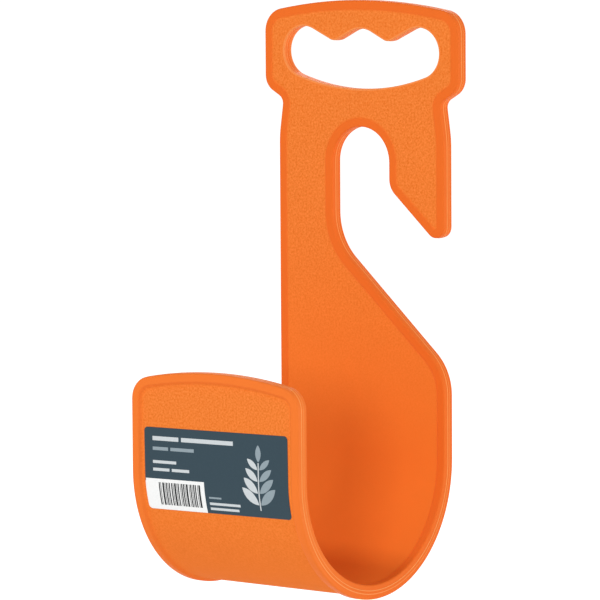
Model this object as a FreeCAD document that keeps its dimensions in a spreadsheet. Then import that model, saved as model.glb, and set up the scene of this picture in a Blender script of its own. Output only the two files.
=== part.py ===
"""Hose hanger: a moulded plate with a hand hole, a hanging slot and a J-shaped saddle, and its label.

Frame: millimetres, +Z up. The origin is the centre of the slot's arch, on the plate's mid-plane. The
plate lies in the XZ plane with its back to the wall at +Y, and the saddle comes out towards -Y.
"""
import FreeCAD, Part
import math
import os

import Sketcher
from FreeCAD import Vector

# Driving dimensions in millimetres and degrees. Heights count from the slot's arch centre. The radius of
# a corner that stands out is that of the field inside the rim, and the rim's width adds to it outside.
DIMENSIONS = [
    ("plate_width", 100.0, "width of plate, saddle and lip"),
    ("rim_thickness", 7.0, "thickness of the rim, front to back"),
    ("web_thickness", 6.2, "thickness of the plate's field inside the rim"),
    ("rim_width", 4.5, "width of the rim"),
    ("rim_edge_bevel", 0.8, "bevel of the rim's outer edges"),
    ("field_edge_bevel", 0.3, "bevel of the rim's inner edges"),
    ("handle_overhang", 8.6, "how far the handle stands out beyond the plate's sides"),
    ("handle_rise", 25.15, "crown of the handle above the hand hole's ends"),
    ("handle_crown_radius", 275.0, "radius of the handle's top edge"),
    ("handle_corner_radius", 7.0, "top corners of the handle"),
    ("shoulder_drop", 12.0, "start of the handle's lower corners below the hand hole's ends"),
    ("shoulder_angle", 30.3, "slope of the handle's underside"),
    ("shoulder_radius", 4.4, "lower corners of the handle"),
    ("neck_radius", 4.4, "hollow of the neck under the handle"),
    ("flare_height", 8.0, "height where the plate's sides start to lean in"),
    ("flare_angle", 8.0, "lean of the sides at the neck"),
    ("flare_radius", 54.3, "bend of the sides below the neck"),
    ("hole_end_spacing", 69.1, "distance between the centres of the hand hole's ends"),
    ("hole_end_height", 53.1, "height of the centres of the hand hole's ends"),
    ("hole_end_radius", 12.1, "radius of the hand hole's ends"),
    ("hole_floor_radius", 121.5, "radius of the hand hole's lower edge"),
    ("knuckle_spacing", 32.4, "distance between the two bumps between the fingers"),
    ("knuckle_rise", 11.05, "centres of the bumps above those of the hand hole's ends"),
    ("knuckle_radius", 5.7, "radius of the bumps"),
    ("finger_drop", 2.4, "centre of the middle finger's hollow below those of the hand hole's ends"),
    ("finger_radius", 13.6, "radius of the middle finger's hollow"),
    ("hole_edge_radius", 1.0, "rounding of the hand hole's edges"),
    ("slot_width", 33.8, "width of the hanging slot"),
    ("throat_angle", 42.3, "slope of the slot's mouth"),
    ("throat_drop", 24.8, "length of the slot's long wall"),
    ("throat_radius", 29.9, "curve from the long wall into the mouth"),
    ("prong_drop", 7.7, "length of the prong's wall"),
    ("prong_corner_radius", 5.5, "corner between the prong's wall and the mouth"),
    ("prong_tip_radius", 1.0, "tip of the prong"),
    ("hip_radius", 22.3, "corner where the mouth runs out into the plate's side"),
    ("saddle_drop", 141.3, "depth of the saddle's centre"),
    ("saddle_radius", 53.5, "inner radius of the saddle"),
    ("lip_rise", 48.5, "crown of the lip above the saddle's centre"),
    ("lip_crown_radius", 220.0, "radius of the lip's top edge"),
    ("lip_corner_radius", 6.5, "top corners of the lip"),
    ("lip_recess", 1.5, "depth of the field below the rim under the saddle and on the lip's front"),
    ("label_margin", 2.6, "gap between the label's ends and the rim"),
    ("label_thickness", 0.2, "thickness of the label's film"),
    ("label_rise", 21.4, "top of the label above the saddle's centre"),
    ("label_wrap_angle", 17.4, "turn of the saddle that the label follows"),
    ("label_corner_radius", 2.0, "corners of the label"),
]

MID_RADIUS = "(Sizes.saddle_radius + Sizes.rim_thickness / 2)"
SHOULDER_HEIGHT = "Sizes.hole_end_height - Sizes.shoulder_drop"
KNUCKLE_HEIGHT = "Sizes.hole_end_height + Sizes.knuckle_rise"
FINGER_HEIGHT = "Sizes.hole_end_height - Sizes.finger_drop"
OUTER_FIELD_RADIUS = f"({MID_RADIUS} + Sizes.rim_thickness / 2 - Sizes.lip_recess)"
FIELD_WIDTH = "Sizes.plate_width - 2 * Sizes.rim_width"
LABEL_WIDTH = f"{FIELD_WIDTH} - 2 * Sizes.label_margin"
START, END, CENTRE = 1, 2, 3
ORIGIN = (-1, START)
TOLERANCE = 1e-3
HALF_TURN = 180
# The largest share of a wall that the rounding or bevel of one of its edges may take.
EDGE_SHARE = 0.45

doc = FreeCAD.newDocument("hose_hanger")


def make_sheet():
    """Writes the driving dimensions into a spreadsheet, each with its alias and a note."""
    sheet = doc.addObject("Spreadsheet::Sheet", "Sizes")
    for row, (alias, value, note) in enumerate(DIMENSIONS, start=1):
        sheet.set(f"A{row}", note)
        sheet.set(f"B{row}", str(value))
        sheet.setAlias(f"B{row}", alias)
    doc.recompute()
    return sheet


sizes = make_sheet()


def value_of(expression):
    """The number that an expression on the sheet gives."""
    return float(sizes.evalExpression(expression))


def flat(x, y):
    """A point in a sketch."""
    return Vector(x, y, 0)


def polar(centre, radius, degrees):
    """The point at an angle on a circle in a sketch."""
    angle = math.radians(degrees)
    return centre + flat(radius * math.cos(angle), radius * math.sin(angle))


def mirrored(pieces):
    """The same pieces on the other side of the sketch's vertical axis, traced the other way."""
    def flip(spot):
        return flat(-spot.x, spot.y)

    flipped = []
    for kind, *data in reversed(pieces):
        if kind == "line":
            start, end = data
            flipped.append(("line", flip(end), flip(start)))
        else:
            centre, radius, begin, finish = data
            flipped.append(("arc", flip(centre), radius, 180 - finish, 180 - begin))
    return flipped


class Outline:
    """A closed outline of lines and arcs in a sketch, with its dimensions tied to the sheet."""

    def __init__(self, sketch):
        self.sketch = sketch

    def add(self, kind, *items):
        return self.sketch.addConstraint(Sketcher.Constraint(kind, *items))

    def draw(self, pieces, sharp=()):
        """Draws pieces in order and joins them, smoothly but where the next piece is in sharp.

        A piece is ("line", start, end) or ("arc", centre, radius, from angle, to angle).
        """
        entries, exits = [], []
        for kind, *data in pieces:
            geometry, forward = self.line(*data) if kind == "line" else self.arc(*data)
            index = self.sketch.addGeometry(geometry, False)
            entries.append((index, START if forward else END))
            exits.append((index, END if forward else START))
        for number, entry in enumerate(entries):
            self.add("Coincident" if number in sharp else "Tangent", *exits[number - 1], *entry)
        return [index for index, _ in entries]

    @staticmethod
    def line(start, end):
        """A line drawn upwards, so that its angle lies between 0 and 180 degrees."""
        forward = (end.y, end.x) > (start.y, start.x)
        return Part.LineSegment(*((start, end) if forward else (end, start))), forward

    @staticmethod
    def arc(centre, radius, begin, finish):
        """An arc, traced anticlockwise when it ends at the larger angle."""
        low, high = sorted((math.radians(begin), math.radians(finish)))
        return Part.ArcOfCircle(Part.Circle(centre, Vector(0, 0, 1), radius), low, high), finish > begin

    def tie(self, kind, *items, to):
        """Adds a dimension and ties it to an expression on the sheet."""
        number = value_of(to)
        index = self.add(kind, *items, math.radians(number) if kind == "Angle" else number)
        self.sketch.setExpression(f"Constraints[{index}]", to)

    def place(self, item, x=None, y=None):
        """Sets how far a point lies from the sketch's origin."""
        if x is not None:
            self.tie("DistanceX", *ORIGIN, *item, to=x)
        if y is not None:
            self.tie("DistanceY", *ORIGIN, *item, to=y)


def new_sketch(body, name, role, offset=None):
    """A sketch on one of the body's origin planes, moved along the plane's normal by an expression."""
    sketch = body.newObject("Sketcher::SketchObject", name)
    plane = next(item for item in body.Origin.OriginFeatures if item.Role == role)
    sketch.AttachmentSupport = (plane, [""])
    sketch.MapMode = "FlatFace"
    if offset:
        sketch.setExpression("AttachmentOffset.Base.z", offset)
    return sketch


def add_symmetric(body, kind, name, sketch, length):
    """A pad or a pocket that goes the same way to both sides of its sketch."""
    feature = body.newObject(f"PartDesign::{kind}", name)
    feature.Profile = sketch
    feature.SideType = "Symmetric"
    feature.setExpression("Length", length)
    doc.recompute()
    return feature


def add_two_sided(body, name, sketch, ahead, behind):
    """A pad that goes one length ahead of its sketch and another behind it."""
    feature = body.newObject("PartDesign::Pad", name)
    feature.Profile = sketch
    feature.SideType = "Two sides"
    feature.setExpression("Length", ahead)
    feature.setExpression("Length2", behind)
    doc.recompute()
    return feature


def add_dressing(body, kind, name, edges, setting, length):
    """Rounds or bevels the chosen edges of the body's last feature."""
    base = body.Tip
    dressing = body.newObject(f"PartDesign::{kind}", name)
    dressing.Base = (base, edges)
    dressing.setExpression(setting, length)
    doc.recompute()
    return dressing


def outward(alias, inset):
    """Radius of a corner that stands out, on an outline drawn in by an inset."""
    return f"Sizes.{alias} + Sizes.rim_width - {inset}"


def crown_pieces(half_width, foot, top, corner_radius, crown_radius):
    """A side, its top corner, and the crown that meets the other corner, from given numbers."""
    centre = flat(0, top - crown_radius)
    corner_x = half_width - corner_radius
    corner_y = centre.y + math.sqrt((crown_radius - corner_radius) ** 2 - corner_x ** 2)
    lean = math.degrees(math.atan2(corner_y - centre.y, corner_x))
    side = ("line", flat(half_width, foot), flat(half_width, corner_y))
    corner = ("arc", flat(corner_x, corner_y), corner_radius, 0, lean)
    crown = ("arc", centre, crown_radius, lean, 180 - lean)
    return side, corner, crown


def tie_crown(outline, sides, corners, crown, half_width, top, corner_radius, crown_radius):
    """Ties two sides, their top corners and the crown between them to expressions."""
    for side, corner, sign in zip(sides, corners, ("", "-")):
        outline.add("Vertical", side)
        outline.place((side, END), x=f"{sign}({half_width})")
        outline.tie("Radius", corner, to=corner_radius)
    outline.tie("Radius", crown, to=crown_radius)
    outline.place((crown, CENTRE), x="0", y=f"{top} - ({crown_radius})")


def draw_plate(sketch, inset):
    """The plate with its neck and handle, drawn in by an inset, without slot and hand hole."""
    outline = Outline(sketch)
    side = f"Sizes.plate_width / 2 - {inset}"
    handle = f"{side} + Sizes.handle_overhang"
    top = f"Sizes.hole_end_height + Sizes.handle_rise - {inset}"
    crown = f"Sizes.handle_crown_radius - {inset}"
    corner, shoulder, flare = (outward(f"{name}_radius", inset)
                               for name in ("handle_corner", "shoulder", "flare"))
    neck = f"Sizes.neck_radius + {inset}"
    side_x, handle_x, shoulder_r, flare_r, neck_r = map(value_of, (side, handle, shoulder, flare, neck))
    lean, slope = value_of("Sizes.flare_angle"), value_of("Sizes.shoulder_angle - 90")
    flare_centre = flat(side_x - flare_r, value_of("Sizes.flare_height"))
    shoulder_centre = flat(handle_x - shoulder_r, value_of(SHOULDER_HEIGHT))
    foot = value_of("-Sizes.saddle_drop")

    # The hollow of the neck touches the leaning side and the sloping underside of the handle.
    across, below = polar(flat(0, 0), 1, lean), polar(flat(0, 0), 1, slope)
    reach_across = across.dot(flare_centre) + flare_r + neck_r
    reach_below = below.dot(shoulder_centre) + shoulder_r + neck_r
    cross = across.x * below.y - across.y * below.x
    neck_centre = flat((reach_across * below.y - reach_below * across.y) / cross,
                       (reach_below * across.x - reach_across * below.x) / cross)

    handle_side, handle_corner, handle_crown = crown_pieces(
        handle_x, shoulder_centre.y, *map(value_of, (top, corner, crown)))
    right = [
        ("line", flat(side_x, foot), polar(flare_centre, flare_r, 0)),
        ("arc", flare_centre, flare_r, 0, lean),
        ("line", polar(flare_centre, flare_r, lean), polar(neck_centre, neck_r, lean + 180)),
        ("arc", neck_centre, neck_r, lean + 180, slope + 180),
        ("line", polar(neck_centre, neck_r, slope + 180), polar(shoulder_centre, shoulder_r, slope)),
        ("arc", shoulder_centre, shoulder_r, slope, 0),
        handle_side,
        handle_corner,
    ]
    base = ("line", flat(-side_x, foot), flat(side_x, foot))
    made = outline.draw([base] + right + [handle_crown] + mirrored(right), sharp=(0, 1))
    base_line, crown_arc = made[0], made[1 + len(right)]
    halves = (made[1:1 + len(right)], made[:1 + len(right):-1])
    for half, sign in zip(halves, (1, -1)):
        edge, flare_arc, lean_line, neck_arc, slope_line, shoulder_arc = half[:6]
        outline.add("Vertical", edge)
        outline.place((edge, END), x=f"{sign} * ({side})")
        outline.tie("Radius", flare_arc, to=flare)
        outline.place((flare_arc, CENTRE), y="Sizes.flare_height")
        outline.tie("Angle", lean_line, to=f"90 + {sign} * Sizes.flare_angle")
        outline.tie("Radius", neck_arc, to=neck)
        outline.tie("Angle", slope_line, to=f"90 - {sign} * (90 - Sizes.shoulder_angle)")
        outline.tie("Radius", shoulder_arc, to=shoulder)
        outline.place((shoulder_arc, CENTRE), y=SHOULDER_HEIGHT)
    tie_crown(outline, [half[6] for half in halves], [half[7] for half in halves], crown_arc,
              handle, top, corner, crown)
    outline.add("Horizontal", base_line)
    outline.place((base_line, START), y="-Sizes.saddle_drop")


def draw_slot(sketch, grow, edge):
    """The hanging slot and its mouth, grown all round; the mouth is closed at x = edge."""
    outline = Outline(sketch)
    half_width = f"Sizes.slot_width / 2 + {grow}"
    throat = f"Sizes.throat_radius + {grow}"
    prong, tip, hip = (outward(f"{name}_radius", grow) for name in ("prong_corner", "prong_tip", "hip"))
    side = f"Sizes.plate_width / 2 - {grow}"
    half_x, throat_r, prong_r, tip_r, hip_r, side_x, edge_x = map(
        value_of, (half_width, throat, prong, tip, hip, side, edge))
    drop = value_of("Sizes.throat_angle")
    into_plate = 270 - drop
    away = polar(flat(0, 0), 1, 90 - drop)
    throat_centre = flat(throat_r - half_x, value_of("-Sizes.throat_drop"))
    prong_centre = flat(half_x + prong_r, value_of("-Sizes.prong_drop"))

    def beside_edge(radius, reach):
        """Centre of a corner at the plate's side whose distance along the mouth's normal is known."""
        x = side_x - radius
        return flat(x, (reach - away.x * x) / away.y)

    hip_centre = beside_edge(hip_r, away.dot(throat_centre) - throat_r - hip_r)
    tip_centre = beside_edge(tip_r, away.dot(prong_centre) - prong_r + tip_r)
    low, high = flat(edge_x, hip_centre.y), flat(edge_x, tip_centre.y)
    (arch, long_wall, throat_arc, low_line, hip_arc, low_close, edge_line, high_close, tip_arc, high_line,
     prong_arc, prong_wall) = outline.draw([
         ("arc", flat(0, 0), half_x, 0, 180),
         ("line", flat(-half_x, 0), polar(throat_centre, throat_r, 180)),
         ("arc", throat_centre, throat_r, 180, into_plate),
         ("line", polar(throat_centre, throat_r, into_plate), polar(hip_centre, hip_r, 90 - drop)),
         ("arc", hip_centre, hip_r, 90 - drop, 0),
         ("line", polar(hip_centre, hip_r, 0), low),
         ("line", low, high),
         ("line", high, polar(tip_centre, tip_r, 0)),
         ("arc", tip_centre, tip_r, 0, into_plate - 360),
         ("line", polar(tip_centre, tip_r, into_plate), polar(prong_centre, prong_r, into_plate)),
         ("arc", prong_centre, prong_r, into_plate, 180),
         ("line", polar(prong_centre, prong_r, 180), flat(half_x, 0)),
     ], sharp=(5, 6, 7, 8))
    outline.add("Coincident", arch, CENTRE, *ORIGIN)
    for wall in (long_wall, prong_wall, edge_line):
        outline.add("Vertical", wall)
    for closing in (low_close, high_close):
        outline.add("Horizontal", closing)
    for line in (low_line, high_line):
        outline.tie("Angle", line, to="180 - Sizes.throat_angle")
    for arc, radius in ((arch, half_width), (throat_arc, throat), (prong_arc, prong), (tip_arc, tip),
                        (hip_arc, hip)):
        outline.tie("Radius", arc, to=radius)
    outline.place((throat_arc, CENTRE), y="-Sizes.throat_drop")
    outline.place((prong_arc, CENTRE), y="-Sizes.prong_drop")
    for corner, end in ((hip_arc, START), (tip_arc, END)):
        outline.place((corner, end), x=side)
        outline.add("Horizontal", corner, CENTRE, corner, end)
    outline.place((edge_line, END), x=edge)


def draw_hand_hole(sketch):
    """The hand hole: a bowed floor, round ends, and bumps between three finger hollows."""
    outline = Outline(sketch)
    end_r, floor_r, bump_r, finger_r = (
        value_of(f"Sizes.{name}_radius") for name in ("hole_end", "hole_floor", "knuckle", "finger"))
    end = flat(value_of("Sizes.hole_end_spacing / 2"), value_of("Sizes.hole_end_height"))
    bump = flat(value_of("Sizes.knuckle_spacing / 2"), value_of(KNUCKLE_HEIGHT))
    finger = flat(0, value_of(FINGER_HEIGHT))
    floor = flat(0, end.y + math.sqrt((floor_r - end_r) ** 2 - end.x ** 2))
    floor_end = math.degrees(math.atan2(end.y - floor.y, end.x))

    def slope_between(hollow, hollow_r, side):
        """Angle at which a hollow's circle touches the straight run to the bump beside it."""
        apart = bump - hollow
        turn = math.degrees(math.acos((hollow_r + bump_r) / apart.Length))
        return math.degrees(math.atan2(apart.y, apart.x)) + side * turn

    outer, inner = slope_between(end, end_r, -1), slope_between(finger, finger_r, 1)
    right = [
        ("arc", end, end_r, floor_end, outer),
        ("line", polar(end, end_r, outer), polar(bump, bump_r, outer + 180)),
        ("arc", bump, bump_r, outer + 180, inner + 180),
        ("line", polar(bump, bump_r, inner + 180), polar(finger, finger_r, inner)),
    ]
    floor_piece = ("arc", floor, floor_r, -180 - floor_end, floor_end)
    finger_piece = ("arc", finger, finger_r, inner, 180 - inner)
    made = outline.draw([floor_piece] + right + [finger_piece] + mirrored(right))
    floor_arc, right_end, _, right_bump, _, finger_arc, _, left_bump, _, left_end = made
    outline.tie("Radius", floor_arc, to="Sizes.hole_floor_radius")
    for arcs, name, height in (((right_end, left_end), "hole_end", "Sizes.hole_end_height"),
                               ((right_bump, left_bump), "knuckle", KNUCKLE_HEIGHT)):
        for arc, sign in zip(arcs, ("", "-")):
            outline.tie("Radius", arc, to=f"Sizes.{name}_radius")
            outline.place((arc, CENTRE), x=f"{sign}Sizes.{name}_spacing / 2", y=height)
    outline.tie("Radius", finger_arc, to="Sizes.finger_radius")
    outline.place((finger_arc, CENTRE), x="0", y=FINGER_HEIGHT)


def draw_lip(sketch, inset):
    """The lip with its crowned top, drawn in by an inset, down to the saddle's centre."""
    outline = Outline(sketch)
    side = f"Sizes.plate_width / 2 - {inset}"
    top = f"Sizes.lip_rise - Sizes.saddle_drop - {inset}"
    corner, crown = outward("lip_corner_radius", inset), f"Sizes.lip_crown_radius - {inset}"
    side_x, foot = value_of(side), value_of("-Sizes.saddle_drop")
    lip_side, lip_corner, lip_crown = crown_pieces(side_x, foot, *map(value_of, (top, corner, crown)))
    right = [lip_side, lip_corner]
    base = ("line", flat(-side_x, foot), flat(side_x, foot))
    base_line, right_side, right_corner, crown_arc, left_corner, left_side = outline.draw(
        [base] + right + [lip_crown] + mirrored(right), sharp=(0, 1))
    tie_crown(outline, (right_side, left_side), (right_corner, left_corner), crown_arc,
              side, top, corner, crown)
    outline.add("Horizontal", base_line)
    outline.place((base_line, START), y="-Sizes.saddle_drop")


def draw_saddle_rims(sketch):
    """The sections of the saddle's two rims, and the axis that they turn round."""
    outline = Outline(sketch)
    edge, step = "Sizes.plate_width / 2", "Sizes.plate_width / 2 - Sizes.rim_width"
    rim = "Sizes.rim_thickness / 2"
    for sign in ("", "-"):
        corners = [(f"{sign}({x})", f"{side}{rim}")
                   for x, side in ((step, "-"), (edge, "-"), (edge, ""), (step, ""))]
        spots = [flat(value_of(x), value_of(y)) for x, y in corners]
        pieces = [("line", spot, spots[number + 1 - len(spots)]) for number, spot in enumerate(spots)]
        made = outline.draw(pieces, sharp=range(len(pieces)))
        for line, (_, start, end), (x, y) in zip(made, pieces, corners):
            if start.y == end.y:
                outline.add("Horizontal", line)
                outline.place((line, START), y=y)
            else:
                outline.add("Vertical", line)
                outline.place((line, START), x=x)
    half_x, axis_y = value_of(edge), value_of(f"-{MID_RADIUS}")
    axis = sketch.addGeometry(Part.LineSegment(flat(-half_x, axis_y), flat(half_x, axis_y)), True)
    outline.add("Horizontal", axis)
    outline.place((axis, START), x=f"-({edge})", y=f"-{MID_RADIUS}")
    outline.place((axis, END), x=edge)


def draw_saddle_web(sketch):
    """The saddle's web from the side. Its outside draws in from the plate's back to the lip's recess."""
    outline = Outline(sketch)
    level, inner, outer = "-Sizes.saddle_drop", f"{MID_RADIUS} - Sizes.web_thickness / 2", OUTER_FIELD_RADIUS
    plate_side = f"Sizes.web_thickness / 2 - {OUTER_FIELD_RADIUS}"
    inner_r, outer_r, level_y = map(value_of, (inner, outer, level))
    centre, near = flat(value_of(f"-{MID_RADIUS}"), level_y), flat(value_of(plate_side), level_y)
    plate_line, plate_arc, floor_line, lip_arc, lip_line, inner_arc = outline.draw([
        ("line", polar(centre, inner_r, 0), polar(near, outer_r, 0)),
        ("arc", near, outer_r, 0, -90),
        ("line", polar(near, outer_r, -90), polar(centre, outer_r, -90)),
        ("arc", centre, outer_r, -90, -180),
        ("line", polar(centre, outer_r, -180), polar(centre, inner_r, -180)),
        ("arc", centre, inner_r, -180, 0),
    ], sharp=(0, 1, 4, 5))
    for line in (plate_line, lip_line):
        outline.add("Horizontal", line)
        outline.place((line, START), y=level)
    outline.place((inner_arc, CENTRE), x=f"-{MID_RADIUS}", y=level)
    outline.add("Coincident", inner_arc, CENTRE, lip_arc, CENTRE)
    outline.place((plate_arc, CENTRE), x=plate_side, y=level)
    for arc, radius in ((inner_arc, inner), (lip_arc, outer), (plate_arc, outer)):
        outline.tie("Radius", arc, to=radius)


def draw_label_section(sketch):
    """The label's film, from its top edge down the lip's field and round the saddle."""
    outline = Outline(sketch)
    inner = OUTER_FIELD_RADIUS
    outer = f"{inner} + Sizes.label_thickness"
    inner_r, outer_r, wrap = map(value_of, (inner, outer, "180 + Sizes.label_wrap_angle"))
    centre = flat(value_of(f"-{MID_RADIUS}"), value_of("-Sizes.saddle_drop"))
    rise = flat(0, value_of("Sizes.label_rise"))
    near, far = polar(centre, inner_r, 180), polar(centre, outer_r, 180)
    near_line, near_arc, end_line, far_arc, far_line, top_line = outline.draw([
        ("line", near + rise, near),
        ("arc", centre, inner_r, 180, wrap),
        ("line", polar(centre, inner_r, wrap), polar(centre, outer_r, wrap)),
        ("arc", centre, outer_r, wrap, 180),
        ("line", far, far + rise),
        ("line", far + rise, near + rise),
    ], sharp=(0, 2, 3, 5))
    for line in (near_line, far_line):
        outline.add("Vertical", line)
    outline.add("Horizontal", top_line)
    outline.place((top_line, START), y="Sizes.label_rise - Sizes.saddle_drop")
    outline.place((near_arc, CENTRE), x=f"-{MID_RADIUS}", y="-Sizes.saddle_drop")
    outline.add("Coincident", near_arc, CENTRE, far_arc, CENTRE)
    outline.tie("Radius", near_arc, to=inner)
    outline.tie("Radius", far_arc, to=outer)
    outline.add("PointOnObject", near_arc, CENTRE, end_line)
    outline.tie("Angle", end_line, to="Sizes.label_wrap_angle")


def depth_of(spot):
    """How far a point lies outside the middle of the bent sheet; inside the J it is negative."""
    radius, floor = value_of(MID_RADIUS), value_of("-Sizes.saddle_drop")
    if spot.z < floor:
        return math.hypot(spot.y + radius, spot.z - floor) - radius
    return spot.y if spot.y > -radius else -2 * radius - spot.y


def edges_at(shape, depth):
    """Names of the edges at a depth on both sides of the sheet: those of walls that go right through
    it, such as its outer edge, and those of steps on one side."""
    numbers = {edge.hashCode(): f"Edge{number}" for number, edge in enumerate(shape.Edges, start=1)}
    level, through = set(), set()
    for face in shape.Faces:
        found = set()
        for edge in face.Edges:
            first, last = edge.ParameterRange
            spots = [edge.valueAt(first + (last - first) * share) for share in (0, 0.5, 1)]
            if all(abs(abs(depth_of(spot)) - depth) < TOLERANCE for spot in spots):
                found.add(numbers[edge.hashCode()])
        level |= found
        depths = [depth_of(vertex.Point) for vertex in face.Vertexes]
        if max(depths) - min(depths) > 2 * depth - TOLERANCE:
            through |= found
    return sorted(through), sorted(level - through)


def make_hanger():
    """The moulding: handle, plate, slot, saddle and lip in one body."""
    body = doc.addObject("PartDesign::Body", "hanger")
    body.Label = "hanger"
    no_inset, rim = "0", "Sizes.rim_width"
    full, web = "Sizes.rim_thickness", "Sizes.web_thickness"
    through = "2 * Sizes.rim_thickness"

    plate = new_sketch(body, "plate_outline", "XZ_Plane")
    draw_plate(plate, no_inset)
    add_symmetric(body, "Pad", "plate_slab", plate, full)
    field = new_sketch(body, "plate_field", "XZ_Plane")
    draw_plate(field, rim)
    add_symmetric(body, "Pocket", "plate_frame", field, through)
    add_symmetric(body, "Pad", "plate_web", field, web)

    collar = new_sketch(body, "slot_collar_outline", "XZ_Plane")
    draw_slot(collar, rim, "Sizes.plate_width / 2 - Sizes.rim_width / 2")
    add_symmetric(body, "Pad", "slot_collar", collar, full)
    slot = new_sketch(body, "slot_outline", "XZ_Plane")
    draw_slot(slot, no_inset, "Sizes.plate_width / 2 + Sizes.rim_width")
    add_symmetric(body, "Pocket", "slot", slot, through)
    hole = new_sketch(body, "hand_hole_outline", "XZ_Plane")
    draw_hand_hole(hole)
    add_symmetric(body, "Pocket", "hand_hole", hole, through)

    sections = new_sketch(body, "saddle_rim_sections", "XY_Plane", "-Sizes.saddle_drop")
    draw_saddle_rims(sections)
    rims = body.newObject("PartDesign::Revolution", "saddle_rims")
    rims.Profile = sections
    rims.ReferenceAxis = (sections, ["Axis0"])
    rims.Angle = HALF_TURN
    rims.Reversed = True
    doc.recompute()
    profile = new_sketch(body, "saddle_web_profile", "YZ_Plane")
    draw_saddle_web(profile)
    add_symmetric(body, "Pad", "saddle_web", profile, FIELD_WIDTH)

    lip_plane = f"2 * {MID_RADIUS}"
    lip = new_sketch(body, "lip_outline", "XZ_Plane", lip_plane)
    draw_lip(lip, no_inset)
    add_symmetric(body, "Pad", "lip_slab", lip, full)
    lip_field = new_sketch(body, "lip_field", "XZ_Plane", lip_plane)
    draw_lip(lip_field, rim)
    add_symmetric(body, "Pocket", "lip_frame", lip_field, through)
    add_two_sided(body, "lip_web", lip_field, f"{full} / 2 - Sizes.lip_recess", f"{web} / 2")

    _, step_edges = edges_at(body.Shape, value_of(f"{full} / 2"))
    add_dressing(body, "Chamfer", "field_bevel", step_edges,
                 "Size", f"min(Sizes.field_edge_bevel; ({full} - {web}) * {EDGE_SHARE})")
    hole_edges, _ = edges_at(body.Shape, value_of(f"{web} / 2"))
    add_dressing(body, "Fillet", "hole_rounding", hole_edges,
                 "Radius", f"min(Sizes.hole_edge_radius; {web} * {EDGE_SHARE})")
    rim_edges, _ = edges_at(body.Shape, value_of(f"{full} / 2"))
    add_dressing(body, "Chamfer", "rim_bevel", rim_edges,
                 "Size", f"min(Sizes.rim_edge_bevel; {full} * {EDGE_SHARE})")
    return body


def make_label():
    """The label: a film with round corners on the lip's outer field and a little way round the saddle."""
    body = doc.addObject("PartDesign::Body", "label")
    body.Label = "label"
    section = new_sketch(body, "label_section", "YZ_Plane")
    draw_label_section(section)
    add_symmetric(body, "Pad", "film", section, LABEL_WIDTH)
    thickness = value_of("Sizes.label_thickness")
    corners = [f"Edge{number}" for number, edge in enumerate(body.Shape.Edges, start=1)
               if abs(edge.Length - thickness) < TOLERANCE]
    add_dressing(body, "Fillet", "film_corners", corners, "Radius", "Sizes.label_corner_radius")
    return body


def check_document(bodies):
    """Stops the build if a feature failed or a solid isn't whole."""
    for item in doc.Objects:
        if {"Invalid", "Error"} & set(item.State):
            raise RuntimeError(f"{item.Name} failed: {item.State}")
    for body in bodies:
        shape = body.Shape
        if shape.isNull() or not shape.isValid() or len(shape.Solids) != 1:
            raise RuntimeError(f"{body.Label} is not one valid solid")


def main():
    bodies = [make_hanger(), make_label()]
    doc.recompute()
    check_document(bodies)
    os.makedirs("parts", exist_ok=True)
    for body in bodies:
        body.Shape.exportStep(f"parts/{body.Label}.step")


main()
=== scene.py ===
"""A hose hanger, moulded in orange polypropylene, with a printed label on its lip.

The moulding is a sheet with a thick rim round its edge. It is drawn flat here, and a Geometry Nodes tree
bends it round the saddle into a J. The label is drawn on the same flat sheet and bent with it.

Sizes are in millimetres and degrees. On the flat sheet, x runs across, s runs up the plate and n runs
through it, from the side that faces the hose to the side that faces the wall. Finished meshes are in metres.
"""

import logging
import math
from dataclasses import dataclass, field
from enum import Enum, IntEnum
from itertools import cycle
from typing import ClassVar

import bpy
from mathutils import Matrix, Vector
from mathutils.geometry import delaunay_2d_cdt


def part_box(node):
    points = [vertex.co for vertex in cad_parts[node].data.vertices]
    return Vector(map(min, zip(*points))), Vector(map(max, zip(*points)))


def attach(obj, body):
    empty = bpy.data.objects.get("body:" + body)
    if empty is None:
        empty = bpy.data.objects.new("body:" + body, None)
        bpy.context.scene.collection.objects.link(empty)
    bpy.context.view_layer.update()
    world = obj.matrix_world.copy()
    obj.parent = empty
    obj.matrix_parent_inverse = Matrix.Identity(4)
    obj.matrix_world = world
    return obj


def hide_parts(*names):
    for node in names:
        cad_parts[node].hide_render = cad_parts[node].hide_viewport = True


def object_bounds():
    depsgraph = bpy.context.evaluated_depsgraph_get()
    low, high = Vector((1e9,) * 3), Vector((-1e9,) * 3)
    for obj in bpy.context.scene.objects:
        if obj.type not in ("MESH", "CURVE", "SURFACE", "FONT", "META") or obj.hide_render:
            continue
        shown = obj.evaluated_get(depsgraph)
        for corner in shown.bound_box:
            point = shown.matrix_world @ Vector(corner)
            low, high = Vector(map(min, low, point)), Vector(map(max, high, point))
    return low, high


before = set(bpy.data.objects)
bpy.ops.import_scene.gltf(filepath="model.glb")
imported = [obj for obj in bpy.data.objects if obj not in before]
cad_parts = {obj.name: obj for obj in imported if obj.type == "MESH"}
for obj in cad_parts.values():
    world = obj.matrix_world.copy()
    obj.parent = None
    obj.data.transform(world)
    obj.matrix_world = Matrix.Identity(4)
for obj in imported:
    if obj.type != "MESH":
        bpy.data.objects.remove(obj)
CAD_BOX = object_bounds()

LOG = logging.getLogger("hose_hanger")
MM = 0.001
IMAGE_PIXELS = 600
# How far an arc's chords may lie inside it, the longest step along an outline, and a sum's rounding error.
CHORD_ERROR = 0.012
LONGEST_EDGE = 6.0
ROUNDING = 1e-6
# A node that serves several kinds of data has sockets for each: these are for colours and for integers.
MIX_FIRST, MIX_SECOND, MIX_RESULT = 6, 7, 2
COMPARE_FIRST, COMPARE_SECOND = 2, 3


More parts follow.
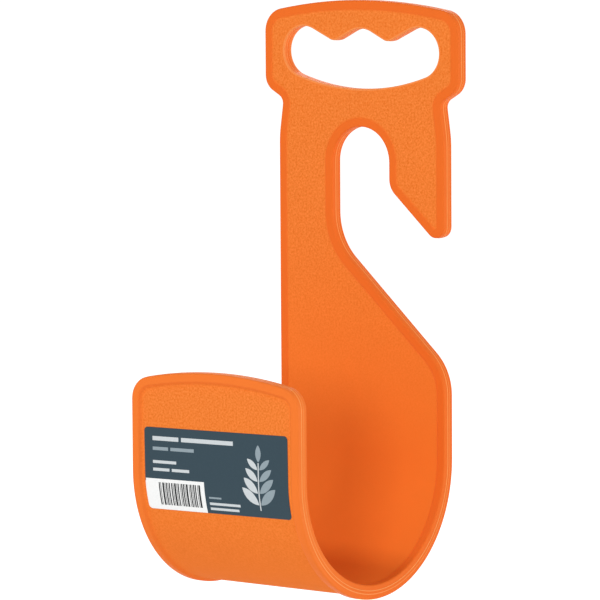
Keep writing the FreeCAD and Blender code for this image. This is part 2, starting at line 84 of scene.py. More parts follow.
def linear_rgba(hex_colour: str) -> tuple[float, float, float, float]:
    """Turns an sRGB hex colour into linear light.

    Args:
        hex_colour: six hex digits, two for each of red, green and blue.

    Returns:
        Red, green, blue and full alpha.
    """
    channels = (int(hex_colour[start:start + 2], 16) / 255 for start in (0, 2, 4))
    red, green, blue = (c / 12.92 if c <= 0.04045 else ((c + 0.055) / 1.055) ** 2.4 for c in channels)
    return red, green, blue, 1.0


def feed(node: bpy.types.Node, inputs: dict) -> None:
    """Sets or links a node's inputs.

    Args:
        node: the node.
        inputs: for a socket's name or number, a value or the output socket that feeds it.
    """
    for name, value in inputs.items():
        if isinstance(value, bpy.types.NodeSocket):
            node.id_data.links.new(value, node.inputs[name])
        else:
            node.inputs[name].default_value = value


def add_node(tree: bpy.types.NodeTree, kind: str, settings: dict | None = None,
             inputs: dict | None = None) -> bpy.types.Node:
    """Adds a node to a tree, with its settings, its values and its links.

    Args:
        tree: the shader or geometry tree.
        kind: the node's type.
        settings: properties of the node by name.
        inputs: for a socket's name or number, a value or the output socket that feeds it.

    Returns:
        The new node.
    """
    node = tree.nodes.new(kind)
    for name, value in (settings or {}).items():
        setattr(node, name, value)
    feed(node, inputs or {})
    return node


def heading(degrees: float) -> Vector:
    """The unit vector at an angle."""
    angle = math.radians(degrees)
    return Vector((math.cos(angle), math.sin(angle)))


def polar(centre: Vector, radius: float, degrees: float) -> Vector:
    """The point at an angle on a circle."""
    return centre + radius * heading(degrees)


def flipped(spot: Vector) -> Vector:
    """The same point on the other side of the sheet's middle."""
    return Vector((-spot.x, spot.y))


def lies_in(spot: Vector, loop: list[Vector]) -> bool:
    """Tells whether a point lies inside a closed loop of points.

    Args:
        spot: the point.
        loop: the loop's points in order.

    Returns:
        True for a point inside, found by counting the sides to its right.
    """
    inside = False
    for start, end in zip(loop, loop[1:] + loop[:1]):
        if (start.y > spot.y) != (end.y > spot.y):
            share = (spot.y - start.y) / (end.y - start.y)
            inside ^= spot.x < start.x + share * (end.x - start.x)
    return inside


def centroid(spots: list[Vector], triangle: list[int]) -> Vector:
    """The middle of a triangle, whose corners are numbers of points."""
    return sum((spots[corner] for corner in triangle), Vector((0, 0))) / 3


@dataclass(frozen=True)
class Station:
    """A point on an edge of the flat sheet, and the direction from there into the sheet."""

    spot: Vector
    inward: Vector

    def inset(self, distance: float) -> Vector:
        """The point at a distance inside the edge."""
        return self.spot + self.inward * distance


@dataclass(frozen=True)
class Line:
    """A straight stretch of an edge, followed with the sheet on its left."""

    start: Vector
    end: Vector
    pitch: float = LONGEST_EDGE

    def stations(self) -> list[Station]:
        """The stretch's points, without its end."""
        run = self.end - self.start
        count = max(1, math.ceil(run.length / self.pitch - ROUNDING))
        inward = Vector((-run.y, run.x)).normalized()
        return [Station(self.start + run * step / count, inward) for step in range(count)]

    def mirrored(self) -> "Line":
        """The same stretch on the sheet's other half."""
        return Line(flipped(self.end), flipped(self.start), self.pitch)

    def reversed(self) -> "Line":
        """The same stretch, followed the other way."""
        return Line(self.end, self.start, self.pitch)


@dataclass(frozen=True)
class Arc:
    """A round stretch of an edge, from one angle to another, with the sheet on its left."""

    centre: Vector
    radius: float
    begin: float
    finish: float

    def stations(self) -> list[Station]:
        """The stretch's points, without its end."""
        turn = self.finish - self.begin
        step_angle = math.degrees(2 * math.acos(1 - CHORD_ERROR / self.radius))
        by_length = math.radians(abs(turn)) * self.radius / LONGEST_EDGE
        count = max(2, math.ceil(abs(turn) / step_angle), math.ceil(by_length))
        side = -1 if turn > 0 else 1
        found = []
        for step in range(count):
            angle = self.begin + turn * step / count
            found.append(Station(polar(self.centre, self.radius, angle), side * heading(angle)))
        return found

    def mirrored(self) -> "Arc":
        """The same stretch on the sheet's other half."""
        return Arc(flipped(self.centre), self.radius, 180 - self.finish, 180 - self.begin)

    def reversed(self) -> "Arc":
        """The same stretch, followed the other way."""
        return Arc(self.centre, self.radius, self.finish, self.begin)


Stretch = Line | Arc


def follow(stretches: list[Stretch]) -> list[Station]:
    """All points of a closed edge in order."""
    return [station for stretch in stretches for station in stretch.stations()]


def mirrored(stretches: list[Stretch]) -> list[Stretch]:
    """The stretches on the sheet's other half, in the order in which they are followed."""
    return [stretch.mirrored() for stretch in reversed(stretches)]


@dataclass(frozen=True)
class Corner:
    """A corner of a section: depth behind the edge, height off the mid-plane, its rounding and its painted
    highlight.
    """

    depth: float
    height: float
    radius: float = 0.0
    steps: int = 4
    painted_glint: float = 0.0


def rounded_section(corners: list[Corner]) -> list[Vector]:
    """Follows half a section and rounds its corners.

    Args:
        corners: the section's corners in order; the first and last, and those without a radius, stay sharp.

    Returns:
        Points (depth, height, painted highlight) along the half section.
    """
    spots = [Vector((corner.depth, corner.height)) for corner in corners]
    points = [spots[0].to_3d()]
    for before, spot, after, corner in zip(spots, spots[1:], spots[2:], corners[1:]):
        if not corner.radius:
            points.append(Vector((*spot, corner.painted_glint)))
            continue
        back, onward = (before - spot).normalized(), (after - spot).normalized()
        half_angle = back.angle(onward) / 2
        reach = corner.radius / math.tan(half_angle)
        middle = spot + (back + onward).normalized() * corner.radius / math.sin(half_angle)
        first, last = spot + back * reach - middle, spot + onward * reach - middle
        for step in range(corner.steps + 1):
            turned = first.slerp(last, step / corner.steps)
            points.append(Vector((*(middle + turned.normalized() * corner.radius), corner.painted_glint)))
    return points + [spots[-1].to_3d()]


class Finish(IntEnum):
    """The finishes of the pieces' faces: the moulding's plastic and the label's inks."""

    PLASTIC = 0
    SLATE = 1
    WHITE = 2
    BLACK = 3
    PALE = 4
    MIST = 5


@dataclass
class FlatMesh:
    """Vertices on the flat sheet and faces with their finishes, before the bend."""

    name: str
    vertices: list[tuple[float, float, float]] = field(default_factory=list)
    grains: list[float] = field(default_factory=list)
    painted_glints: list[float] = field(default_factory=list)
    faces: list[list[int]] = field(default_factory=list)
    finishes: list[int] = field(default_factory=list)

    def add_vertex(self, spot: Vector, height: float, grain: float = 1.0, painted_glint: float = 0.0) -> int:
        """Adds a point at a height off the mid-plane, with its grain and painted highlight, and returns its
        number.
        """
        self.vertices.append((spot.x * MM, height * MM, spot.y * MM))
        self.grains.append(grain)
        self.painted_glints.append(painted_glint)
        return len(self.vertices) - 1

    def add_face(self, corners: list[int], finish: Finish) -> None:
        """Adds a face with a finish."""
        self.faces.append(corners)
        self.finishes.append(int(finish))

    def to_object(self) -> bpy.types.Object:
        """Makes a mesh object that carries its finishes, its grain and its painted highlight as attributes.
        """
        mesh = bpy.data.meshes.new(self.name)
        mesh.from_pydata(self.vertices, [], self.faces)
        layer = mesh.attributes.new("finish", "INT", "FACE")
        layer.data.foreach_set("value", self.finishes)
        for name, values in (("grain", self.grains), ("painted_glint", self.painted_glints)):
            layer = mesh.attributes.new(name, "FLOAT", "POINT")
            layer.data.foreach_set("value", values)
        piece = bpy.data.objects.new(self.name, mesh)
        bpy.context.scene.collection.objects.link(piece)
        return piece


@dataclass(frozen=True)
class SaddleBend:
    """The bend that turns the flat sheet into a J: a half turn round the saddle's axis."""

    radius: float
    drop: float

    # The sum that bends a point: in each step, a result, an operation and what it takes. The way down past
    # the start of the bend is an arc's length on the mid-plane, up to a half turn.
    STEPS: ClassVar[tuple] = (
        ("start", "MULTIPLY", "drop", -1.0),
        ("below", "SUBTRACT", "start", "s"),
        ("angle", "DIVIDE", "below", "radius"),
        ("begun", "MAXIMUM", "angle", 0.0),
        ("turn", "MINIMUM", "begun", math.pi),
        ("cosine", "COSINE", "turn"),
        ("sine", "SINE", "turn"),
        ("reach", "ADD", "radius", "n"),
        ("swing", "MULTIPLY", "reach", "cosine"),
        ("out", "SUBTRACT", "swing", "radius"),
        ("dip", "MULTIPLY", "reach", "sine"),
        ("sag", "ADD", "dip", "drop"),
        ("up", "MULTIPLY", "below", -1.0),
        ("plate", "MAXIMUM", "up", 0.0),
        ("half_turn", "MULTIPLY", "radius", math.pi),
        ("past", "SUBTRACT", "below", "half_turn"),
        ("lip", "MAXIMUM", "past", 0.0),
        ("straight", "ADD", "plate", "lip"),
        ("rise", "SUBTRACT", "straight", "sag"),
    )

    @classmethod
    def from_frame(cls) -> "SaddleBend":
        """Reads the bend of the sheet's mid-plane off the CAD model's box."""
        low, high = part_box("hanger")
        outer = (high.y - low.y) / 2
        return cls(radius=(outer - high.y) / MM, drop=(-low.z - outer) / MM)

    @property
    def start(self) -> float:
        """Where the bend starts on the flat sheet."""
        return -self.drop

    @property
    def end(self) -> float:
        """Where the bend ends and the lip starts."""
        return -self.drop - math.pi * self.radius

    def tree(self, finishes: dict[Finish, bpy.types.Material]) -> bpy.types.NodeTree:
        """Builds the Geometry Nodes tree that bends a flat piece and gives its faces their finishes.

        Args:
            finishes: the material of each finish that the piece has.

        Returns:
            The tree, with inputs for the bend's radius and drop.
        """
        tree = bpy.data.node_groups.new("bend_round_saddle", "GeometryNodeTree")
        tree.interface.new_socket("Geometry", in_out="INPUT", socket_type="NodeSocketGeometry")
        for name in ("Saddle Radius", "Saddle Drop"):
            tree.interface.new_socket(name, in_out="INPUT", socket_type="NodeSocketFloat")
        tree.interface.new_socket("Geometry", in_out="OUTPUT", socket_type="NodeSocketGeometry")

        given = add_node(tree, "NodeGroupInput").outputs
        place = add_node(tree, "GeometryNodeInputPosition").outputs[0]
        flat = add_node(tree, "ShaderNodeSeparateXYZ", inputs={0: place}).outputs
        known = {"radius": given["Saddle Radius"], "drop": given["Saddle Drop"]}
        known |= {"n": flat["Y"], "s": flat["Z"]}
        for result, operation, *values in self.STEPS:
            inputs = {number: known.get(value, value) for number, value in enumerate(values)}
            known[result] = add_node(tree, "ShaderNodeMath", {"operation": operation}, inputs).outputs[0]
        bent = add_node(tree, "ShaderNodeCombineXYZ", inputs={
            "X": flat["X"], "Y": known["out"], "Z": known["rise"]}).outputs[0]

        geometry = add_node(tree, "GeometryNodeSetPosition", inputs={
            "Geometry": given["Geometry"], "Position": bent}).outputs[0]
        geometry = add_node(tree, "GeometryNodeSetShadeSmooth", inputs={0: geometry}).outputs[0]
        geometry = add_node(tree, "GeometryNodeRealizeInstances", inputs={0: geometry}).outputs[0]
        finish = add_node(tree, "GeometryNodeInputNamedAttribute", {"data_type": "INT"},
                          {"Name": "finish"}).outputs["Attribute"]
        for number, material in finishes.items():
            chosen = add_node(tree, "FunctionNodeCompare", {"data_type": "INT", "operation": "EQUAL"},
                              {COMPARE_FIRST: finish, COMPARE_SECOND: int(number)}).outputs[0]
            geometry = add_node(tree, "GeometryNodeSetMaterial", inputs={
                "Geometry": geometry, "Selection": chosen, "Material": material}).outputs[0]
        add_node(tree, "NodeGroupOutput", inputs={"Geometry": geometry})
        return tree

    def apply(self, piece: bpy.types.Object, finishes: dict[Finish, bpy.types.Material]) -> None:
        """Bends a flat piece and leaves it a plain mesh.

        Args:
            piece: the object with the flat mesh.
            finishes: the material of each finish that the piece has.
        """
        tree = self.tree(finishes)
        modifier = piece.modifiers.new("bend", "NODES")
        modifier.node_group = tree
        values = {"Saddle Radius": self.radius * MM, "Saddle Drop": self.drop * MM}
        for socket in tree.interface.items_tree:
            if socket.name in values:
                modifier[socket.identifier] = values[socket.name]
        evaluated = piece.evaluated_get(bpy.context.evaluated_depsgraph_get())
        mesh = bpy.data.meshes.new_from_object(evaluated)
        piece.modifiers.clear()
        piece.data = mesh
        mesh.name = piece.name
        mesh.attributes.remove(mesh.attributes["finish"])


@dataclass(frozen=True)
class Moulding:
    """The hanger: handle, plate, slot, saddle and lip, moulded in one piece with a rim all round.

    Heights count from the centre of the slot's arch. The radii are those of the outer edge.
    """

    bend: SaddleBend
    thickness: float
    handle_half: float
    handle_top: float
    half_width: float = 50.0
    web_thickness: float = 6.2
    rim_width: float = 4.5
    handle_crown_radius: float = 275.0
    handle_corner_radius: float = 11.5
    shoulder_height: float = 41.1
    shoulder_angle: float = 30.3
    shoulder_radius: float = 8.9
    neck_radius: float = 4.4
    flare_height: float = 8.0
    flare_angle: float = 8.0
    flare_radius: float = 58.8
    slot_half: float = 16.9
    throat_angle: float = 42.3
    throat_drop: float = 24.8
    throat_radius: float = 29.9
    prong_drop: float = 7.7
    prong_corner_radius: float = 10.0
    prong_tip_radius: float = 5.5
    hip_radius: float = 26.8
    lip_rise: float = 48.5
    lip_crown_radius: float = 220.0
    lip_corner_radius: float = 11.0
    lip_recess: float = 1.5
    hole_end: tuple[float, float] = (34.55, 53.1)
    hole_end_radius: float = 12.1
    hole_floor_radius: float = 121.5
    knuckle: tuple[float, float] = (16.2, 64.15)
    knuckle_radius: float = 5.7
    finger_height: float = 50.7
    finger_radius: float = 13.6
    rim_edge_radius: float = 0.9
    rim_edge_steps: int = 7
    hole_edge_radius: float = 0.6
    hole_edge_steps: int = 6
    # The hand hole's rounded edge carries this share of the painted highlight.
    hole_edge_painted_glint: float = 0.5
    # Rows of points in the field beside the hand hole, in radii of its edge.
    hole_field_rows: tuple[float, float] = (2.6, 1.8)
    # The step from the field up to the rim is a soft slope, and the grain thins out towards it.
    step_slope: float = 0.7
    step_radius: float = 0.8
    grain_margin: float = 0.6
    # Where the step is higher, its slope is also wider, by this share for each millimetre.
    step_ease: float = 0.8
    # Where the mould's halves meet, a narrow band stands proud round every edge. Its corners are rounded by a
    # share of its rise.
    band_width: float = 1.7
    band_rise: float = 0.16
    band_softness: float = 0.7
    band_steps: int = 3
    ledge_width: float = 0.3
    # The hand hole's band has this share of the rise.
    hole_band_share: float = 0.7
    # The mesh: rows in the bend, the fields' grid, its distance from the rim, and the gap that is welded.
    bend_pitch: float = 2.0
    field_pitch: float = 7.5
    field_clearance: float = 1.5
    weld: float = 1e-7

    @classmethod
    def from_frame(cls, bend: SaddleBend) -> "Moulding":
        """Reads the overall sizes off the CAD model's box."""
        _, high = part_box("hanger")
        return cls(bend=bend, thickness=2 * high.y / MM, handle_half=high.x / MM, handle_top=high.z / MM)

    def crown(self, half: float, top: float, corner_radius: float, crown_radius: float) -> tuple[Arc, Arc]:
        """A top corner and the crown between it and its mirror image, with the crown uppermost.

        Args:
            half: half the width over the corners' sides.
            top: height of the crown.
            corner_radius: radius of the corners.
            crown_radius: radius of the crown.

        Returns:
            The right corner and the crown, followed upwards and to the left.
        """
        centre = Vector((0, top - crown_radius))
        corner_x = half - corner_radius
        corner_y = centre.y + math.sqrt((crown_radius - corner_radius) ** 2 - corner_x ** 2)
        lean = math.degrees(math.atan2(corner_y - centre.y, corner_x))
        corner = Arc(Vector((corner_x, corner_y)), corner_radius, 0, lean)
        return corner, Arc(centre, crown_radius, lean, 180 - lean)

    def head_edge(self) -> list[Stretch]:
        """The edge from the plate's right side, round the neck and handle, to the left side."""
        flare = Vector((self.half_width - self.flare_radius, self.flare_height))
        shoulder = Vector((self.handle_half - self.shoulder_radius, self.shoulder_height))
        slope = self.shoulder_angle - 90
        across, below = heading(self.flare_angle), heading(slope)
        reach_across = across.dot(flare) + self.flare_radius + self.neck_radius
        reach_below = below.dot(shoulder) + self.shoulder_radius + self.neck_radius
        cross = across.x * below.y - across.y * below.x
        neck = Vector(((reach_across * below.y - reach_below * across.y) / cross,
                       (reach_below * across.x - reach_across * below.x) / cross))
        corner, crown = self.crown(self.handle_half, self.handle_top, self.handle_corner_radius,
                                   self.handle_crown_radius)
        right = [
            Arc(flare, self.flare_radius, 0, self.flare_angle),
            Line(polar(flare, self.flare_radius, self.flare_angle),
                 polar(neck, self.neck_radius, self.flare_angle + 180)),
            Arc(neck, self.neck_radius, self.flare_angle + 180, slope + 180),
            Line(polar(neck, self.neck_radius, slope + 180), polar(shoulder, self.shoulder_radius, slope)),
            Arc(shoulder, self.shoulder_radius, slope, 0),
            Line(Vector((self.handle_half, shoulder.y)), Vector((self.handle_half, corner.centre.y))),
            corner,
        ]
        return right + [crown] + mirrored(right)

    def slot_edge(self) -> list[Stretch]:
        """The edge from the plate's right side below the slot's mouth, round the slot, to above it."""
        facing = 90 - self.throat_angle
        into_plate = facing + 180
        away = heading(facing)
        throat = Vector((self.throat_radius - self.slot_half, -self.throat_drop))
        prong = Vector((self.slot_half + self.prong_corner_radius, -self.prong_drop))

        def beside_edge(radius: float, reach: float) -> Vector:
            """Centre of a corner at the plate's side whose distance along the mouth's normal is known."""
            x = self.half_width - radius
            return Vector((x, (reach - away.x * x) / away.y))

        hip = beside_edge(self.hip_radius, away.dot(throat) - self.throat_radius - self.hip_radius)
        tip = beside_edge(self.prong_tip_radius,
                          away.dot(prong) - self.prong_corner_radius + self.prong_tip_radius)
        return [
            Line(Vector((self.half_width, self.bend.start)), Vector((self.half_width, hip.y))),
            Arc(hip, self.hip_radius, 0, facing),
            Line(polar(hip, self.hip_radius, facing), polar(throat, self.throat_radius, into_plate)),
            Arc(throat, self.throat_radius, into_plate, 180),
            Line(polar(throat, self.throat_radius, 180), Vector((-self.slot_half, 0))),
            Arc(Vector((0, 0)), self.slot_half, 180, 0),
            Line(Vector((self.slot_half, 0)), polar(prong, self.prong_corner_radius, 180)),
            Arc(prong, self.prong_corner_radius, 180, into_plate),
            Line(polar(prong, self.prong_corner_radius, into_plate),
                 polar(tip, self.prong_tip_radius, into_plate)),
            Arc(tip, self.prong_tip_radius, into_plate, 360),
            Line(polar(tip, self.prong_tip_radius, 0), Vector((self.half_width, self.flare_height))),
        ]

    def outer_edge(self) -> list[Station]:
        """The whole outer edge, from the lip's crown up the right side and back down the left."""
        side = self.half_width
        corner, crown = self.crown(side, self.lip_rise, self.lip_corner_radius, self.lip_crown_radius)

        def on_lip(arc: Arc) -> Arc:
            """The lip lies upside down at the flat sheet's lower end."""
            centre = Vector((arc.centre.x, self.bend.end - arc.centre.y))
            return Arc(centre, arc.radius, -arc.finish, -arc.begin)

        lip_corner, lip_crown = on_lip(corner), on_lip(crown)
        right = [
            lip_corner,
            Line(Vector((side, lip_corner.centre.y)), Vector((side, self.bend.end))),
            Line(Vector((side, self.bend.end)), Vector((side, self.bend.start)), self.bend_pitch),
        ]
        left_side = Line(Vector((-side, self.flare_height)), Vector((-side, self.bend.start)))
        upwards = [lip_crown] + right + self.slot_edge() + self.head_edge()
        return follow(upwards + [left_side] + mirrored(right))

    def hole_edge(self) -> list[Station]:
        """The hand hole's edge: a bowed floor, round ends, and bumps between three finger hollows."""
        end, bump = Vector(self.hole_end), Vector(self.knuckle)
        finger = Vector((0, self.finger_height))
        floor_reach = self.hole_floor_radius - self.hole_end_radius
        floor = Vector((0, end.y + math.sqrt(floor_reach ** 2 - end.x ** 2)))
        floor_end = math.degrees(math.atan2(end.y - floor.y, end.x))

        def touch(hollow: Vector, radius: float, side: int) -> float:
            """Angle at which a hollow's circle meets the straight run to the bump beside it."""
            apart = bump - hollow
            turn = math.degrees(math.acos((radius + self.knuckle_radius) / apart.length))
            return math.degrees(math.atan2(apart.y, apart.x)) + side * turn

        outer, inner = touch(end, self.hole_end_radius, -1), touch(finger, self.finger_radius, 1)
        right = [
            Arc(end, self.hole_end_radius, floor_end, outer),
            Line(polar(end, self.hole_end_radius, outer), polar(bump, self.knuckle_radius, outer + 180)),
            Arc(bump, self.knuckle_radius, outer + 180, inner + 180),
            Line(polar(bump, self.knuckle_radius, inner + 180), polar(finger, self.finger_radius, inner)),
        ]
        round_hole = [Arc(floor, self.hole_floor_radius, -180 - floor_end, floor_end)] + right
        round_hole += [Arc(finger, self.finger_radius, inner, 180 - inner)] + mirrored(right)
        return follow([stretch.reversed() for stretch in reversed(round_hole)])

    def band_corners(self, rise: float) -> list[Corner]:
        """The proud band in the middle of an edge, with a sloping ledge; the ledge's outer corner carries a
        painted highlight.
        """
        half, soft = self.band_width / 2, self.band_softness * rise
        return [Corner(rise, half + rise, soft, self.band_steps),
                Corner(0, half, soft, self.band_steps, painted_glint=1.0),
                Corner(0, half - self.ledge_width),
                Corner(0, 0)]

    def rim_section(self) -> list[Vector]:
        """Half the rim's section: field, soft step, flat crest, rounded edge and band."""
        rim, web, slope = self.thickness / 2, self.web_thickness / 2, self.step_slope / 2
        step = [Corner(self.rim_width + slope + self.grain_margin, web),
                Corner(self.rim_width + slope, web, self.step_radius),
                Corner(self.rim_width - slope, rim, self.step_radius),
                Corner(self.band_rise, rim, self.rim_edge_radius, self.rim_edge_steps)]
        return rounded_section(step + self.band_corners(self.band_rise))

    def hole_section(self) -> list[Vector]:
        """Half the hand hole's section: field, rounded edge with a painted highlight, and a lower band."""
        web, rise = self.web_thickness / 2, self.band_rise * self.hole_band_share
        plain = [Corner(rise + self.hole_edge_radius * reach, web) for reach in self.hole_field_rows]
        edge = Corner(rise, web, self.hole_edge_radius, self.hole_edge_steps, self.hole_edge_painted_glint)
        return rounded_section(plain + [edge] + self.band_corners(rise))

    def field_sink(self, along: float) -> float:
        """How much deeper the field lies under the saddle and on the lip's front than on the plate's back.

        Args:
            along: a point along the flat sheet.

        Returns:
            The extra depth there; it grows in the bend's first quarter turn.
        """
        full = self.lip_recess - (self.thickness - self.web_thickness) / 2
        turn = max(0.0, (self.bend.start - along) / self.bend.radius)
        if turn > math.pi / 2:
            return full
        radius = self.bend.radius + self.web_thickness / 2 - full
        reach = full * math.cos(turn) + math.sqrt(radius ** 2 - (full * math.sin(turn)) ** 2)
        return radius + full - reach

    def add_rim(self, flat: FlatMesh, stations: list[Station], section: list[Vector],
                smooth_to: float) -> list[list[int]]:
        """Runs a half section and its mirror image along a closed edge.

        Args:
            flat: the mesh that takes the faces.
            stations: the edge's points.
            section: points (depth, height, painted highlight) from the field to the middle of the edge.
            smooth_to: depth up to which the edge has no grain; it then grows to full grain at the field.

        Returns:
            For each station, the numbers of its vertices, from the front field round to the back field.
        """
        crest = self.thickness / 2
        step = crest - self.web_thickness / 2
        front = [(point.x, -point.y, point.z) for point in section]
        profile = front + [(depth, -height, painted_glint) for depth, height, painted_glint in reversed(front[:-1])]
        reach = section[0].x - smooth_to
        rings = []
        for station in stations:
            ring = []
            for depth, height, painted_glint in profile:
                spot = station.inset(depth)
                past_crest = max(0.0, depth - smooth_to)
                if height > 0 and depth > self.rim_width / 2:
                    sink = self.field_sink(spot.y)
                    height = crest - (crest - height) * (1 + sink / step)
                    spot = station.inset(depth + past_crest * self.step_ease * sink)
                ring.append(flat.add_vertex(spot, height, past_crest / reach, painted_glint))
            rings.append(ring)
        for ring, following in zip(rings, rings[1:] + rings[:1]):
            for first in range(len(profile) - 1):
                corners = [ring[first], ring[first + 1], following[first + 1], following[first]]
                flat.add_face(corners, Finish.PLASTIC)
        return rings

    def grid_spots(self) -> list[Vector]:
        """Points inside the field, in rows as close as the bend needs."""
        columns = math.floor(self.half_width / self.field_pitch)
        across = [column * self.field_pitch for column in range(-columns, columns + 1)]
        bent = self.bend.start - self.bend.end
        bend_rows = math.ceil(bent / self.bend_pitch)
        rows = [self.bend.end + bent * row / bend_rows for row in range(bend_rows + 1)]
        above = math.floor((self.handle_top - self.bend.start) / self.field_pitch)
        rows += [self.bend.start + row * self.field_pitch for row in range(1, above + 1)]
        below = math.floor(self.lip_rise / self.field_pitch)
        rows += [self.bend.end - row * self.field_pitch for row in range(1, below + 1)]
        return [Vector((x, row)) for row in rows for x in across]

    def add_fields(self, flat: FlatMesh, rims: list[list[list[int]]], loops: list[list[Vector]]) -> None:
        """Fills the front and back fields inside the rims' inner loops.

        Args:
            flat: the mesh that takes the faces.
            rims: for each edge, the rings of vertex numbers round it.
            loops: for each edge, the points of its inner loop.
        """
        edge_spots = [spot for loop in loops for spot in loop]
        outer, hole = loops
        inside = [spot for spot in self.grid_spots() if lies_in(spot, outer) and not lies_in(spot, hole)
                  and min((spot - near).length for near in edge_spots) > self.field_clearance]
        links, first = [], 0
        for loop in loops:
            links += [(first + step, first + (step + 1) % len(loop)) for step in range(len(loop))]
            first += len(loop)
        spots, _, triangles, sources, _, _ = delaunay_2d_cdt(edge_spots + inside, links, [], 0, self.weld)
        middles = [centroid(spots, triangle) for triangle in triangles]
        kept = [triangle for triangle, middle in zip(triangles, middles)
                if lies_in(middle, outer) and not lies_in(middle, hole)]
        for side, end in ((-1, 0), (1, -1)):
            edge_numbers = [ring[end] for rim in rims for ring in rim]
            numbers = {}
            for number, (spot, source) in enumerate(zip(spots, sources)):
                if source[0] < len(edge_numbers):
                    numbers[number] = edge_numbers[source[0]]
                    continue
                sink = self.field_sink(spot.y) if side > 0 else 0
                numbers[number] = flat.add_vertex(spot, side * self.web_thickness / 2 - sink)
            for triangle in kept:
                corners = [numbers[corner] for corner in triangle]
                flat.add_face(corners if side < 0 else corners[::-1], Finish.PLASTIC)

    def build(self) -> bpy.types.Object:
        """Makes the flat sheet with its rim, its fields and its hand hole."""
        flat = FlatMesh("hanger_moulding")
        rims, loops = [], []
        edges = ((self.outer_edge(), self.rim_section(), self.rim_width - self.step_slope / 2),
                 (self.hole_edge(), self.hole_section(), self.hole_edge_radius))
        for stations, section, smooth_to in edges:
            rims.append(self.add_rim(flat, stations, section, smooth_to))
            loops.append([station.inset(section[0].x) for station in stations])
        self.add_fields(flat, rims, loops)
        return flat.to_object()

    def dress(self, piece: bpy.types.Object) -> None:
        """Bends the sheet round the saddle, gives it its finishes and sets it in the frame."""
        self.bend.apply(piece, {Finish.PLASTIC: MouldedPolypropylene().material()})
        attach(piece, "root")
        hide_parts("hanger")


@dataclass(frozen=True)
class Patch:
    """A printed shape on the label, as a loop of points in the label's plane."""

    loop: list[Vector]
    ink: Finish

    def covers(self, spot: Vector) -> bool:
        """Tells whether a point of the label lies on the shape."""
        across, up = zip(*self.loop)
        boxed = min(across) <= spot.x <= max(across) and min(up) <= spot.y <= max(up)
        return boxed and lies_in(spot, self.loop)


